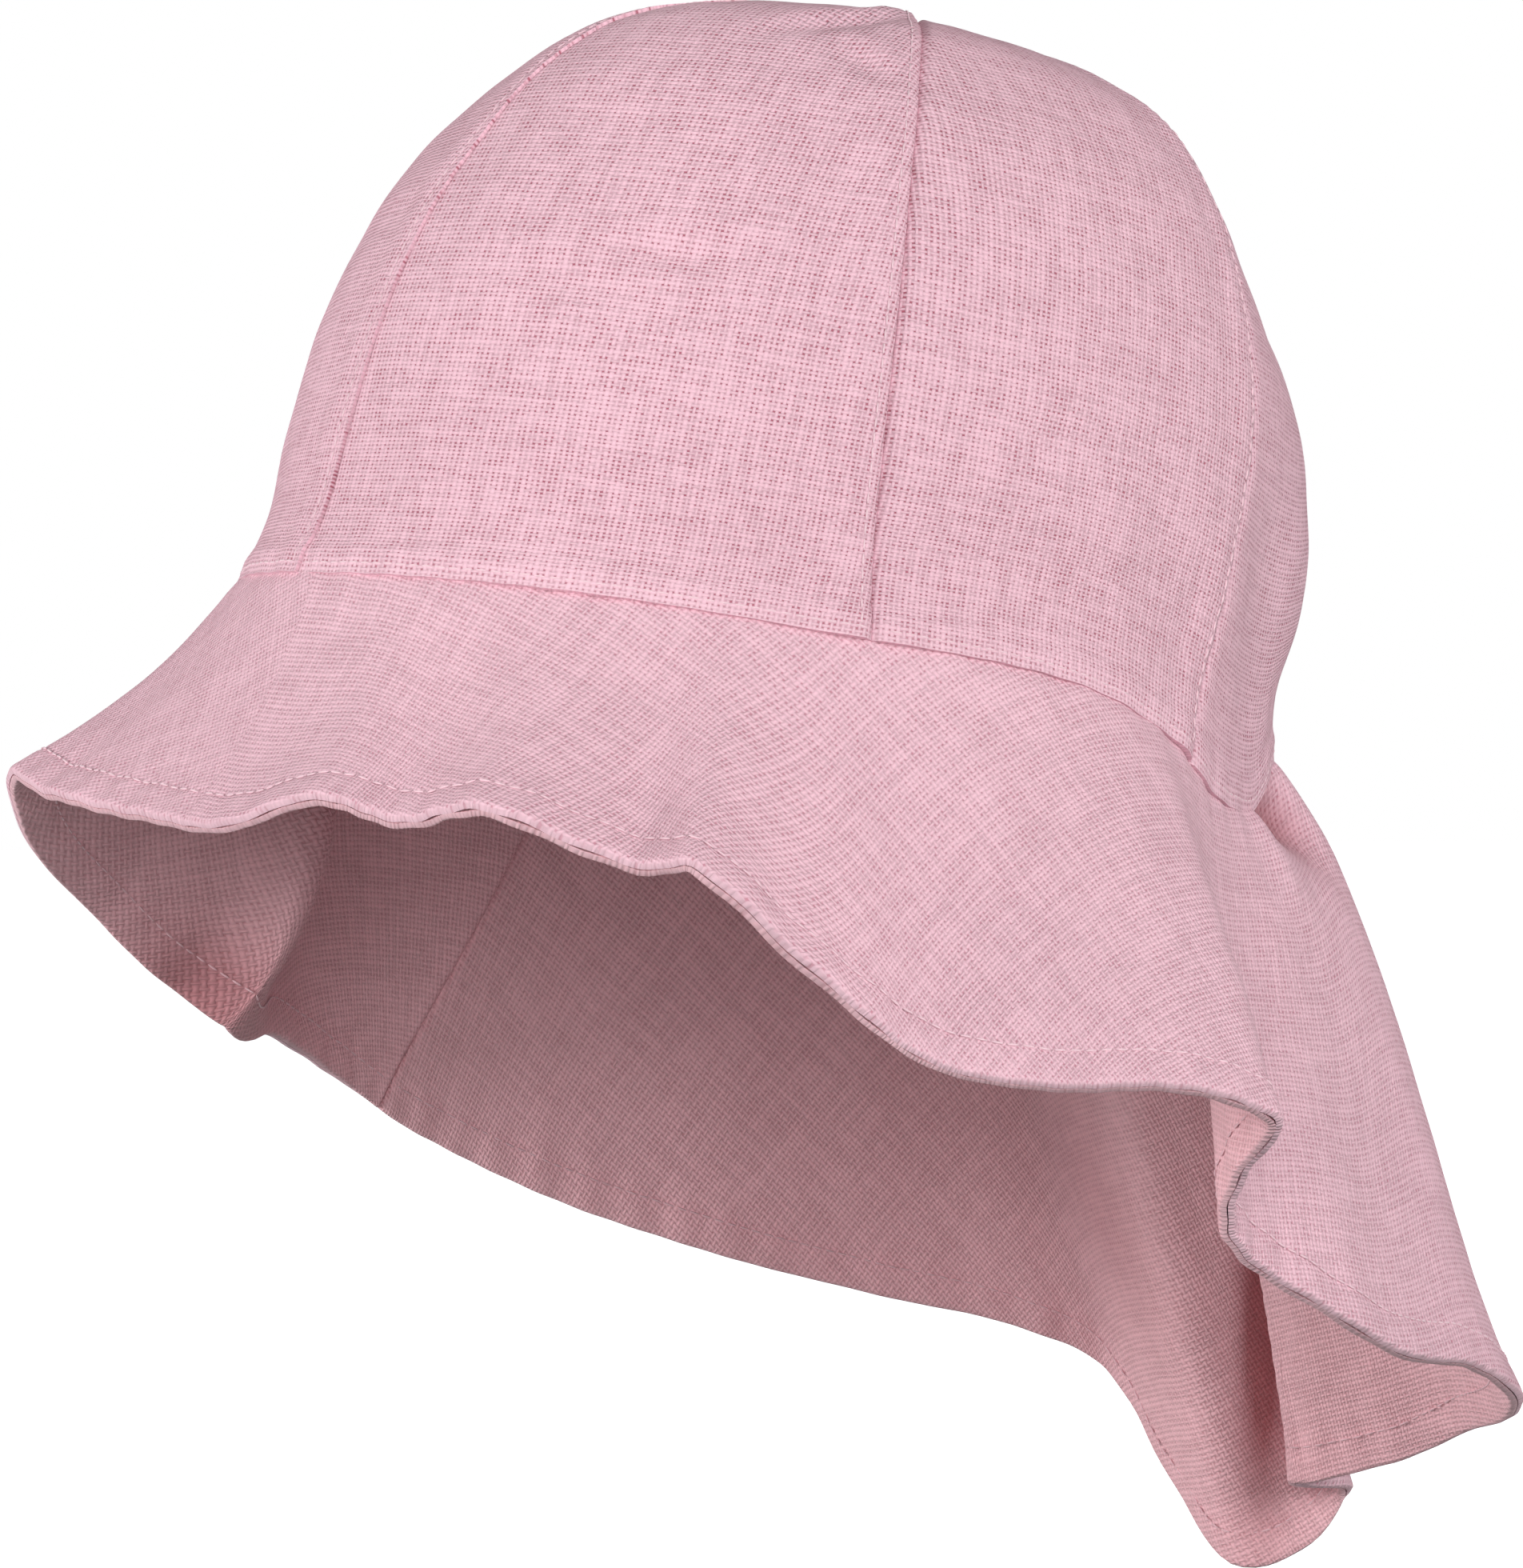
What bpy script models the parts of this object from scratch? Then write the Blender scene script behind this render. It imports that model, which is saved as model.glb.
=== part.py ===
"""A toddler's linen sun hat: a domed crown of six panels, and a brim of two cloths that is short at the front
and grows into a long flap over the nape. Metres, +Z up, the wearer facing -Y. The origin is the middle of the
crown's rim, where the hat sits on the head. Angles run round the rim from the front over the wearer's left."""

import bmesh
import bpy
import numpy as np

# Crown: the rim is an oval that sits low at the nape, and the dome stands square on it
CROWN_LENGTH = 0.1748
CROWN_WIDTH = 0.1432
CROWN_HEIGHT = 0.1070
CROWN_LEAN = 0.0085  # the top lies this far behind the middle of the rim
RIM_TILT = 11.5  # degrees

# Brim: how far it reaches from the rim, measured along the cloth
BRIM_FRONT = 0.050
BRIM_SIDE = 0.078
BRIM_BACK = 0.132

# Cloth
PANEL_CLOTH = 0.0012
BRIM_CLOTH = 0.0010
SEAM_GAP = 0.0003  # left between pieces that are sewn together
TOP_MEETING = 0.0012  # radius where the six panel tips stop short of each other

# How finely the pieces are made
PANEL_ROWS = 9
BRIM_ROWS = 8

# Side view of the dome: climb up the panel, height and reach as shares of the crown's height and half-width
DOME = (
    # climb, height, reach
    (0.00, 0.000, 1.000),
    (0.10, 0.100, 0.980),
    (0.25, 0.250, 0.975),
    (0.42, 0.450, 0.950),
    (0.58, 0.640, 0.875),
    (0.72, 0.800, 0.755),
    (0.86, 0.940, 0.530),
    (0.95, 0.990, 0.260),
    (1.00, 1.000, 0.000),
)

# Panels: the seam where each begins, how far that seam drifts on its way down to the rim, and how many columns
# of facets the panel and the brim below it have, more where the brim folds
PANELS = (
    # name, seam angle, drift in degrees, columns
    ("crown_panel_front_left", 0, -4, 12),
    ("crown_panel_side_left", 60, 7, 14),
    ("crown_panel_back_left", 120, -8, 22),
    ("crown_panel_back_right", 180, 0, 22),
    ("crown_panel_side_right", 240, 0, 16),
    ("crown_panel_front_right", 300, 0, 14),
)

# The rim isn't flat: it is drawn down behind the ear and rides up over the nape
RIM_DIP = (
    # angle, rise as a share of the crown's height
    (0, 0.000),
    (60, 0.000),
    (100, 0.000),
    (110, -0.030),
    (118, -0.070),
    (126, -0.075),
    (135, -0.055),
    (144, 0.030),
    (152, 0.050),
    (162, -0.020),
    (175, -0.030),
    (200, 0.000),
    (280, 0.000),
    (325, 0.020),
)

# Soft hollows and swells of the crown
CROWN_DENTS = (
    # angle, climb, angle spread, climb spread, depth as a share of the crown's height, below 0 for a swell
    (128, 0.25, 9, 0.16, 0.020),
    (140, 0.68, 20, 0.14, 0.040),
    (146, 0.27, 14, 0.15, -0.018),
    (353, 0.85, 18, 0.08, 0.016),
    (338, 0.70, 14, 0.08, 0.012),
    (20, 0.62, 16, 0.07, 0.008),
    (75, 0.80, 14, 0.06, 0.014),
    (95, 0.50, 10, 0.20, 0.006),
)

# The brim's folds. Each row is one line from rim to hem: its length as a share of the plain cut, then how far
# the hem stands outward and how far it swings round (both shares of that length), how the line bows up, and how
# it swells near the rim and flicks out again at the hem
BRIM_FOLDS = (
    # angle, length, outward, swing, bow, hook
    (6, 1.00, 0.660, 0.150, -0.10, 0.00),
    (15, 0.98, 0.740, 0.170, -0.10, 0.00),
    (26, 0.96, 0.740, 0.010, -0.10, 0.00),
    (35, 0.93, 0.790, -0.100, -0.10, 0.00),
    (46, 0.93, 0.720, -0.090, -0.10, 0.00),
    (53, 0.92, 0.740, -0.190, -0.10, 0.00),
    (61, 0.98, 0.560, -0.090, -0.08, 0.00),
    (70, 1.03, 0.510, -0.150, -0.06, 0.00),
    (80, 1.03, 0.540, -0.220, -0.04, 0.00),
    (90, 0.99, 0.575, -0.310, -0.02, 0.00),
    (98, 0.96, 0.590, -0.350, 0.00, 0.00),
    (104, 0.93, 0.560, -0.385, 0.02, 0.00),
    (109, 0.89, 0.430, -0.455, 0.00, 0.00),
    (115, 0.86, 0.310, -0.510, 0.00, 0.00),
    (122, 0.85, 0.255, -0.535, 0.02, 0.00),
    (131, 0.86, 0.275, -0.490, 0.05, 0.10),
    (141, 0.87, 0.300, -0.335, 0.05, 0.18),
    (150, 0.90, 0.330, -0.240, 0.06, 0.20),
    (158, 0.90, 0.390, 0.110, 0.05, 0.20),
    (167, 0.88, 0.355, 0.125, 0.03, 0.12),
    (175, 0.87, 0.285, 0.065, 0.02, 0.00),
    (180, 0.87, 0.275, 0.015, 0.00, 0.00),
    (185, 0.94, 0.400, -0.040, 0.00, 0.00),
    (191, 1.02, 0.340, -0.080, 0.00, 0.00),
    (196, 1.04, 0.280, -0.100, 0.00, 0.00),
    (201, 1.00, 0.340, -0.095, 0.00, 0.00),
    (208, 0.92, 0.410, -0.125, 0.02, 0.00),
    (218, 0.89, 0.365, -0.175, 0.02, 0.00),
    (230, 0.90, 0.290, -0.160, 0.00, 0.00),
    (242, 0.92, 0.235, -0.110, 0.00, 0.00),
    (256, 0.96, 0.270, -0.070, 0.00, 0.00),
    (270, 1.00, 0.340, -0.130, 0.00, 0.00),
    (284, 1.02, 0.350, -0.215, 0.08, 0.00),
    (291, 1.00, 0.310, -0.190, 0.14, 0.00),
    (296, 1.00, 0.260, -0.150, 0.04, 0.00),
    (301, 1.03, 0.120, 0.080, -0.22, 0.42),
    (308, 1.00, 0.300, -0.020, -0.14, 0.24),
    (317, 0.94, 0.530, -0.050, -0.09, 0.06),
    (326, 0.90, 0.700, 0.300, -0.10, 0.00),
    (340, 0.96, 0.680, 0.310, -0.10, 0.00),
    (354, 1.00, 0.640, 0.270, -0.10, 0.00),
)


def through(rows, column, at, turn=None):
    """A smooth line through one column of a table, which closes on itself after turn."""
    rows = np.array(rows, float)
    knots, values = rows[:, 0], rows[:, column]
    if turn:
        knots = np.concatenate([knots[-2:] - turn, knots, knots[:2] + turn])
        values = np.concatenate([values[-2:], values, values[:2]])
        at = np.mod(at - knots[1], turn) + knots[1]
    gaps = np.diff(knots)
    slopes = np.diff(values) / gaps
    lean = np.concatenate([slopes[:1], slopes, slopes[-1:]])
    before, after = np.concatenate([gaps[:1], gaps]), np.concatenate([gaps, gaps[-1:]])
    lean = (lean[:-1] * after + lean[1:] * before) / (before + after)
    i = np.clip(np.searchsorted(knots, at, side="right") - 1, 0, len(gaps) - 1)
    t = (at - knots[i]) / gaps[i]
    start = (1 + 2 * t) * (1 - t) ** 2 * values[i] + t * (1 - t) ** 2 * gaps[i] * lean[i]
    end = t * t * (3 - 2 * t) * values[i + 1] - t * t * (1 - t) * gaps[i] * lean[i + 1]
    return start + end


def tilted(x, y, z):
    """From the rim's own level frame to the frame in which the head is level."""
    cos, sin = np.cos(np.radians(RIM_TILT)), np.sin(np.radians(RIM_TILT))
    return np.stack([x, y * cos + z * sin, z * cos - y * sin], -1)


def crown_face(angle, climb):
    """The outer face of the crown."""
    climb = np.clip(climb, 0, 1)
    height = through(DOME, 1, climb) + through(RIM_DIP, 1, angle, 360) * (1 - climb) ** 3
    reach = through(DOME, 2, climb)
    for place, level, wide, tall, depth in CROWN_DENTS:
        away = (np.mod(angle - place + 180, 360) - 180) / wide
        dent = depth * np.exp(-(away**2) - ((climb - level) / tall) ** 2)
        reach = reach - dent * CROWN_HEIGHT / (CROWN_WIDTH / 2)
    around = np.radians(angle)
    x = CROWN_WIDTH / 2 * reach * np.sin(around)
    y = -CROWN_LENGTH / 2 * reach * np.cos(around) + CROWN_LEAN * height
    return tilted(x, y, CROWN_HEIGHT * height)


def level_ways(angle):
    """The level directions straight out from the rim and along it."""
    around = np.radians(angle)
    out = np.stack([np.sin(around) / CROWN_WIDTH, -np.cos(around) / CROWN_LENGTH, 0 * around], -1)
    out /= np.linalg.norm(out, axis=-1, keepdims=True)
    return out, np.stack([-out[..., 1], out[..., 0], 0 * around], -1)


def brim_face(angle, along):
    """The upper face of the brim, from the rim at 0 to the hem at 1."""
    cut = through(((0, BRIM_FRONT), (90, BRIM_SIDE), (180, BRIM_BACK), (270, BRIM_SIDE)), 1, angle, 360)
    length = (cut * through(BRIM_FOLDS, 1, angle, 360))[..., None]
    outward = through(BRIM_FOLDS, 2, angle, 360)[..., None]
    swing = through(BRIM_FOLDS, 3, angle, 360)[..., None]
    bow = through(BRIM_FOLDS, 4, angle, 360)[..., None]
    hook = through(BRIM_FOLDS, 5, angle, 360)[..., None]
    out, round_rim = level_ways(angle)
    down = np.array([0.0, 0.0, -1.0])
    drop = np.sqrt(np.clip(1 - outward**2 - swing**2, 0, 1))
    chord = out * outward + round_rim * swing + down * drop
    lift = out * drop - down * outward
    rim = crown_face(angle, 0 * angle) + down * SEAM_GAP
    t = np.asarray(along)[..., None]
    bend = t * (1 - t) * (2 * bow + (1 - 2 * t) * hook)
    return rim + length * (chord * t + bend * lift)


def inward(face, u, v, depth):
    """A point off a face, measured square to it: inward on the brim, which runs down from the rim, and outward
    on the crown, which climbs from it."""
    step = 1e-3
    ways = [face(u + 360 * step, v) - face(u - 360 * step, v), face(u, v + step) - face(u, v - step)]
    square = np.cross(*ways)
    square /= np.linalg.norm(square, axis=-1, keepdims=True)
    return face(u, v) + square * depth


def panel_place(number, across, climb):
    """The angle at which a point of a panel lies, half a seam gap clear of the seams on both sides."""
    begin, end = PANELS[number], PANELS[(number + 1) % len(PANELS)]
    drift = (1 - climb) ** 1.5
    half_gap = np.degrees(SEAM_GAP / CROWN_WIDTH / np.maximum(through(DOME, 2, climb), 0.005))
    left = begin[1] + begin[2] * drift + half_gap
    right = end[1] + 360 * (number == len(PANELS) - 1) + end[2] * drift - half_gap
    return left + (right - left) * across


def cloth(name, face, depths, columns, rows, material):
    """One cloth of even thickness: a grid is laid on one side, then extruded to the other."""
    mesh = bmesh.new()
    across = mesh.verts.layers.float.new("across")
    along = mesh.verts.layers.float.new("along")
    bmesh.ops.create_grid(mesh, x_segments=columns, y_segments=rows, size=0.5)
    for vert in mesh.verts:
        vert[across], vert[along] = vert.co.x + 0.5, vert.co.y + 0.5
        vert.co = face(vert[across], vert[along], depths[0])
    bmesh.ops.remove_doubles(mesh, verts=mesh.verts, dist=1e-6)
    made = bmesh.ops.extrude_face_region(mesh, geom=mesh.faces[:], use_keep_orig=True)
    for vert in made["geom"]:
        if isinstance(vert, bmesh.types.BMVert):
            vert.co = face(vert[across], vert[along], depths[1])
    bmesh.ops.recalc_face_normals(mesh, faces=mesh.faces)
    data = bpy.data.meshes.new(name)
    mesh.to_mesh(data)
    mesh.free()
    data.shade_smooth()
    data.set_sharp_from_angle(angle=np.radians(50))
    data.materials.append(material)
    piece = bpy.data.objects.new(name, data)
    bpy.context.scene.collection.objects.link(piece)
    return piece


def linen(name, colour, roughness):
    """Washed linen: dull, with a little sheen from its loose fibres."""
    material = bpy.data.materials.new(name)
    material.use_nodes = True
    shader = material.node_tree.nodes["Principled BSDF"]
    shader.inputs["Base Color"].default_value = (*colour, 1)
    shader.inputs["Roughness"].default_value = roughness
    shader.inputs["Sheen Weight"].default_value = 0.3
    return material


def crown():
    """Six wedge panels, from the rim to where their tips meet."""
    pink = linen("crown_linen", (0.72, 0.42, 0.49), 0.9)
    climb_near_top, _, reach_near_top = DOME[-2]
    top = 1 - (1 - climb_near_top) * TOP_MEETING / (reach_near_top * CROWN_WIDTH / 2)
    for number, panel in enumerate(PANELS):

        def face(across, climb, depth, number=number):
            climb = np.asarray(climb * top)
            return inward(crown_face, panel_place(number, np.asarray(across), climb), climb, -depth)

        cloth(panel[0], face, (0, PANEL_CLOTH), panel[3], PANEL_ROWS, pink)


def brim():
    """The upper cloth and the facing under it, cut alike and sewn together at the hem."""

    seams = [begin + drift for _, begin, drift, _ in PANELS] + [360 + PANELS[0][1] + PANELS[0][2]]
    ends = np.cumsum([0] + [columns for _, _, _, columns in PANELS])

    def face(across, along, depth):
        angle = np.interp(across * ends[-1], ends, seams)
        return inward(brim_face, np.asarray(angle), np.asarray(along), depth)

    upper = linen("brim_linen", (0.72, 0.42, 0.49), 0.9)
    under = linen("brim_facing_linen", (0.66, 0.38, 0.44), 0.9)
    facing = BRIM_CLOTH + SEAM_GAP
    cloth("brim_upper", face, (0, BRIM_CLOTH), ends[-1], BRIM_ROWS, upper)
    cloth("brim_under", face, (facing, facing + BRIM_CLOTH), ends[-1], BRIM_ROWS, under)


for leftover in list(bpy.data.objects):
    bpy.data.objects.remove(leftover)
crown()
brim()
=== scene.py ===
"""Looks of a toddler's linen sun hat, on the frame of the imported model.

Metres, +Z up, the wearer facing -Y."""

import bmesh
import bpy
import numpy as np
from mathutils import Matrix, Vector, noise


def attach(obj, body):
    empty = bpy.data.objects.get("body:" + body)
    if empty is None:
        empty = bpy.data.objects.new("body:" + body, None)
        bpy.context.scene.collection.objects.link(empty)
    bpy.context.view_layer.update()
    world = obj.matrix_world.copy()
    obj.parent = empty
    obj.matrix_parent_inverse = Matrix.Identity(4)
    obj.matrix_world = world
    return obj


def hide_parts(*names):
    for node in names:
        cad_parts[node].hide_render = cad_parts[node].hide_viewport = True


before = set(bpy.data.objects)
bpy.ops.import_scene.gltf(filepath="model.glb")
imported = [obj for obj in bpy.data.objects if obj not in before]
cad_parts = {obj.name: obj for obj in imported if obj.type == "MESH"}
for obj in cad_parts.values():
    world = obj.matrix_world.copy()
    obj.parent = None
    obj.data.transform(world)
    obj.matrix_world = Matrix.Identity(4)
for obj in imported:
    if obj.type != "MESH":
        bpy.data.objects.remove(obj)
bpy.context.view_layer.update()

# Crown panels
# Six wedges of washed plain-weave linen, sewn edge to edge into a dome. The turnings of each seam are pressed
# under the panel before it, so every panel is raised along the seam where it ends, and dips at both seams.
CROWN_LENGTH = 0.1748
CROWN_WIDTH = 0.1432
CROWN_HEIGHT = 0.1070
CROWN_LEAN = 0.0085
CROWN_CLIMB = 0.156  # from the rim to the top along the cloth
CLIMB_SHARE = 1.45  # climb along the cloth near the rim, as a share of the crown's height
RIM_TILT = 11.5  # degrees
PANEL_CLOTH = 0.0010
PANEL_COLUMNS = 64
PANEL_ROWS = 92
SEAM_DIP = 0.0010
SEAM_ROLL = 0.0008  # how far from the seam the cloth's edge starts to roll down into it
TURNING_WIDTH = 0.0068
TURNING_RAISE = 0.00055
SEAM_STITCH = 0.0019  # from the seam to its topstitching
RIM_TURNING = 0.0060
RIM_STITCH = 0.0019
RIM_OVERHANG = 0.0007
RIM_RADIUS = 0.080
STITCH_SINK = 0.00022  # how far a row of stitching draws the cloth in
STITCH_FURROW = 0.0006
TURNING_EDGE = 0.0007  # how softly the edge of a turning shows through
SEAM_PUCKER = 0.00012
SEAM_PUCKER_PITCH = 0.0085
RIM_PUCKER = 0.0002
RIM_PUCKER_PITCH = 0.0080

DOME = (
    # climb, height, reach
    (0.00, 0.000, 1.000),
    (0.10, 0.100, 0.980),
    (0.25, 0.250, 0.975),
    (0.42, 0.450, 0.950),
    (0.58, 0.640, 0.875),
    (0.72, 0.800, 0.755),
    (0.86, 0.940, 0.530),
    (0.95, 0.990, 0.260),
    (1.00, 1.000, 0.000),
)

PANELS = (
    # name, seam angle, drift in degrees, how sunk the seam is, width and length that the panel was cut to
    ("crown_panel_front_left", 0, -4, 0.05, 0.107, 0.174),
    ("crown_panel_side_left", 60, 7, 1.00, 0.080, 0.160),
    ("crown_panel_back_left", 120, -8, 1.00, 0.110, 0.164),
    ("crown_panel_back_right", 180, 0, 0.90, 0.092, 0.168),
    ("crown_panel_side_right", 240, 0, 0.90, 0.102, 0.162),
    ("crown_panel_front_right", 300, 0, 0.80, 0.087, 0.172),
)

RIM_DIP = (
    # angle, rise as a share of the crown's height
    (0, 0.000),
    (60, 0.000),
    (100, 0.000),
    (110, -0.030),
    (118, -0.070),
    (126, -0.075),
    (135, -0.055),
    (144, 0.030),
    (152, 0.050),
    (162, -0.020),
    (175, -0.030),
    (200, 0.000),
    (280, 0.000),
    (325, 0.020),
)

CROWN_DENTS = (
    # angle, climb, angle spread, climb spread, depth as a share of the crown's height, below 0 for a swell
    (128, 0.25, 9, 0.16, 0.020),
    (140, 0.68, 20, 0.14, 0.040),
    (146, 0.27, 14, 0.15, -0.018),
    (353, 0.85, 18, 0.08, 0.016),
    (338, 0.70, 14, 0.08, 0.012),
    (20, 0.62, 16, 0.07, 0.008),
    (75, 0.80, 14, 0.06, 0.014),
    (95, 0.50, 10, 0.20, 0.006),
)

CROWN_CREASES = (
    # angle, climb, length in degrees, width in climb, slope in climb for each degree, depth in metres
    (36, 0.46, 9, 0.020, 0.0010, 0.0011),
    (28, 0.41, 12, 0.022, -0.0012, 0.0009),
    (47, 0.84, 12, 0.020, 0.0040, 0.0013),
    (52, 0.76, 5, 0.018, -0.0040, 0.0010),
    (108, 0.16, 4, 0.090, 0.0000, 0.0008),
    (101, 0.24, 4, 0.080, 0.0000, 0.0005),
    (84, 0.33, 12, 0.026, 0.0018, 0.0004),
    (160, 0.35, 10, 0.030, -0.0020, 0.0009),
    (206, 0.30, 12, 0.035, 0.0020, 0.0008),
    (232, 0.55, 9, 0.025, -0.0015, 0.0007),
    (262, 0.28, 11, 0.030, 0.0016, 0.0007),
    (288, 0.62, 8, 0.022, 0.0025, 0.0006),
    (315, 0.35, 12, 0.028, -0.0016, 0.0006),
    (345, 0.50, 9, 0.024, 0.0014, 0.0005),
)


def through(rows, column, at, turn=None):
    """A smooth line through one column of a table, which closes on itself after turn."""
    rows = np.array(rows, float)
    knots, values = rows[:, 0], rows[:, column]
    if turn:
        knots = np.concatenate([knots[-2:] - turn, knots, knots[:2] + turn])
        values = np.concatenate([values[-2:], values, values[:2]])
        at = np.mod(at - knots[1], turn) + knots[1]
    gaps = np.diff(knots)
    slopes = np.diff(values) / gaps
    lean = np.concatenate([slopes[:1], slopes, slopes[-1:]])
    before, after = np.concatenate([gaps[:1], gaps]), np.concatenate([gaps, gaps[-1:]])
    lean = (lean[:-1] * after + lean[1:] * before) / (before + after)
    i = np.clip(np.searchsorted(knots, at, side="right") - 1, 0, len(gaps) - 1)
    t = (at - knots[i]) / gaps[i]
    start = (1 + 2 * t) * (1 - t) ** 2 * values[i] + t * (1 - t) ** 2 * gaps[i] * lean[i]
    end = t * t * (3 - 2 * t) * values[i + 1] - t * t * (1 - t) * gaps[i] * lean[i + 1]
    return start + end


def crown_face(angle, climb):
    """The outer face of the crown, before its seams and creases."""
    climb = np.clip(climb, 0, 1)
    height = through(DOME, 1, climb) + through(RIM_DIP, 1, angle, 360) * (1 - climb) ** 3
    reach = through(DOME, 2, climb)
    for place, level, wide, tall, depth in CROWN_DENTS:
        away = (np.mod(angle - place + 180, 360) - 180) / wide
        dent = depth * np.exp(-(away**2) - ((climb - level) / tall) ** 2)
        reach = reach - dent * CROWN_HEIGHT / (CROWN_WIDTH / 2)
    around = np.radians(angle)
    x = CROWN_WIDTH / 2 * reach * np.sin(around)
    y = -CROWN_LENGTH / 2 * reach * np.cos(around) + CROWN_LEAN * height
    z = CROWN_HEIGHT * height
    cos, sin = np.cos(np.radians(RIM_TILT)), np.sin(np.radians(RIM_TILT))
    return np.stack([x, y * cos + z * sin, z * cos - y * sin], -1)


def off_face(face, u, v, depth):
    """A point off a face, measured square to it.

    That is inward on the brim, which runs down from the rim, and outward on the crown, which climbs from it.
    """
    step = 1e-3
    ways = [face(u + 360 * step, v) - face(u - 360 * step, v), face(u, v + step) - face(u, v - step)]
    square = np.cross(*ways)
    square /= np.linalg.norm(square, axis=-1, keepdims=True)
    return face(u, v) + square * np.asarray(depth)[..., None]


def ripple(points, size, seed):
    """Soft unevenness of washed cloth, about -1 to 1, at points in metres."""
    return np.array([noise.noise(Vector(point) / size + Vector((seed, 0, 0))) for point in points])


def puckers(distance, pitch, seed):
    """The short tucks that a line of stitching draws into the cloth, along a distance in metres."""
    uneven = 0.6 * np.sin(distance / pitch * 0.37 + seed) + 0.4 * np.sin(distance / pitch * 0.83 + 2 * seed)
    return np.sin(2 * np.pi * distance / pitch + 2.2 * uneven) * (0.65 + 0.35 * uneven)


def seam_line(number, climb):
    """The angle of the seam where a panel begins."""
    turns, number = divmod(number, len(PANELS))
    _, begin, drift, *_ = PANELS[number]
    return begin + 360 * turns + drift * (1 - climb) ** 1.5


def crown_relief(number, angle, climb):
    """How far one panel's outer face stands out from the plain crown."""
    near = crown_face(angle - 0.5, climb)
    degree = np.linalg.norm(crown_face(angle + 0.5, climb) - near, axis=-1)
    from_start = (angle - seam_line(number, climb)) * degree
    to_end = (seam_line(number + 1, climb) - angle) * degree
    up = climb * CROWN_HEIGHT * CLIMB_SHARE
    sunk_start, sunk_end = PANELS[number][3], PANELS[(number + 1) % len(PANELS)][3]
    relief = -SEAM_DIP * sunk_start * np.exp(-((from_start / SEAM_ROLL) ** 2))
    relief -= SEAM_DIP * sunk_end * np.exp(-((to_end / SEAM_ROLL) ** 2))
    for edge, turning, stitch in ((to_end, TURNING_WIDTH, SEAM_STITCH), (up, RIM_TURNING, RIM_STITCH)):
        relief += TURNING_RAISE / (1 + np.exp((edge - turning) / TURNING_EDGE))
        relief -= STITCH_SINK * np.exp(-(((edge - stitch) / STITCH_FURROW) ** 2))
    for edge, sunk, seed in ((to_end, sunk_end, 3 * number + 3), (from_start, sunk_start, 3 * number)):
        pulled = puckers(up, SEAM_PUCKER_PITCH, seed)
        relief += SEAM_PUCKER * sunk * pulled * np.exp(-np.minimum(edge, 0.05) / 0.006)
    relief += RIM_PUCKER * puckers(np.radians(angle) * RIM_RADIUS, RIM_PUCKER_PITCH, 1) * np.exp(-up / 0.007)
    for place, level, long, wide, slope, depth in CROWN_CREASES:
        away = np.mod(angle - place + 180, 360) - 180
        across = (climb - level - slope * away) / wide
        profile = 0.5 * np.exp(-((across - 1.5) ** 2)) - np.exp(-(across**2))
        relief += depth * profile * np.exp(-((away / long) ** 2))
    return relief * np.clip((1 - climb) / 0.03, 0.15, 1)


def crown_outside(number, angle, climb, above=0.0):
    """A panel's outer face as it lies, with its seams, turnings, puckers and creases."""
    plain = crown_face(angle, climb)
    uneven = 0.00045 * ripple(plain, 0.022, 5) + 0.00022 * ripple(plain, 0.009, 9)
    relief = crown_relief(number, angle, climb) + uneven * np.clip((1 - climb) / 0.1, 0, 1) + above
    placed = off_face(crown_face, angle, climb, relief)
    placed[:, 2] -= RIM_OVERHANG * np.exp(-((climb * CROWN_HEIGHT / 0.0015) ** 2))
    return placed


def cloth(name, faces, grain, worn, painted_fold_shade, columns, rows, material):
    """One cloth: a fine grid laid on its show face and extruded to its back.

    The UV map holds each point's place on the flat cut, in metres, so the threads run as the cloth was cut.
    """
    mesh = bmesh.new()
    across = mesh.verts.layers.float.new("across")
    along = mesh.verts.layers.float.new("along")
    edge = mesh.verts.layers.float.new("worn")
    # This layer holds how much painted shade each point's colour gets in the folds
    fold = mesh.verts.layers.float.new("painted_fold_shade")
    bmesh.ops.create_grid(mesh, x_segments=columns, y_segments=rows, size=0.5)
    for vert in mesh.verts:
        vert[across] = vert.co.x + 0.5
        vert[along] = vert.co.y + 0.5
    show = mesh.verts[:]
    made = bmesh.ops.extrude_face_region(mesh, geom=mesh.faces[:], use_keep_orig=True)
    back = [vert for vert in made["geom"] if isinstance(vert, bmesh.types.BMVert)]
    for verts, face in zip((show, back), faces):
        u = np.array([vert[across] for vert in verts])
        v = np.array([vert[along] for vert in verts])
        for vert, point, wear, painted_shade in zip(verts, face(u, v), worn(u, v), painted_fold_shade(u, v)):
            vert.co = point
            vert[edge] = wear
            vert[fold] = painted_shade
    u = np.array([vert[across] for vert in mesh.verts])
    v = np.array([vert[along] for vert in mesh.verts])
    flat = grain(u, v)
    mesh.verts.index_update()
    layer = mesh.loops.layers.uv.new("grain")
    for corner in mesh.faces:
        for loop in corner.loops:
            loop[layer].uv = flat[loop.vert.index]
    bmesh.ops.remove_doubles(mesh, verts=mesh.verts, dist=1e-6)
    bmesh.ops.recalc_face_normals(mesh, faces=mesh.faces)
    data = bpy.data.meshes.new(name)
    mesh.to_mesh(data)
    mesh.free()
    data.shade_smooth()
    data.set_sharp_from_angle(angle=np.radians(60))
    data.materials.append(material)
    piece = bpy.data.objects.new(name, data)
    bpy.context.scene.collection.objects.link(piece)
    return piece


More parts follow.
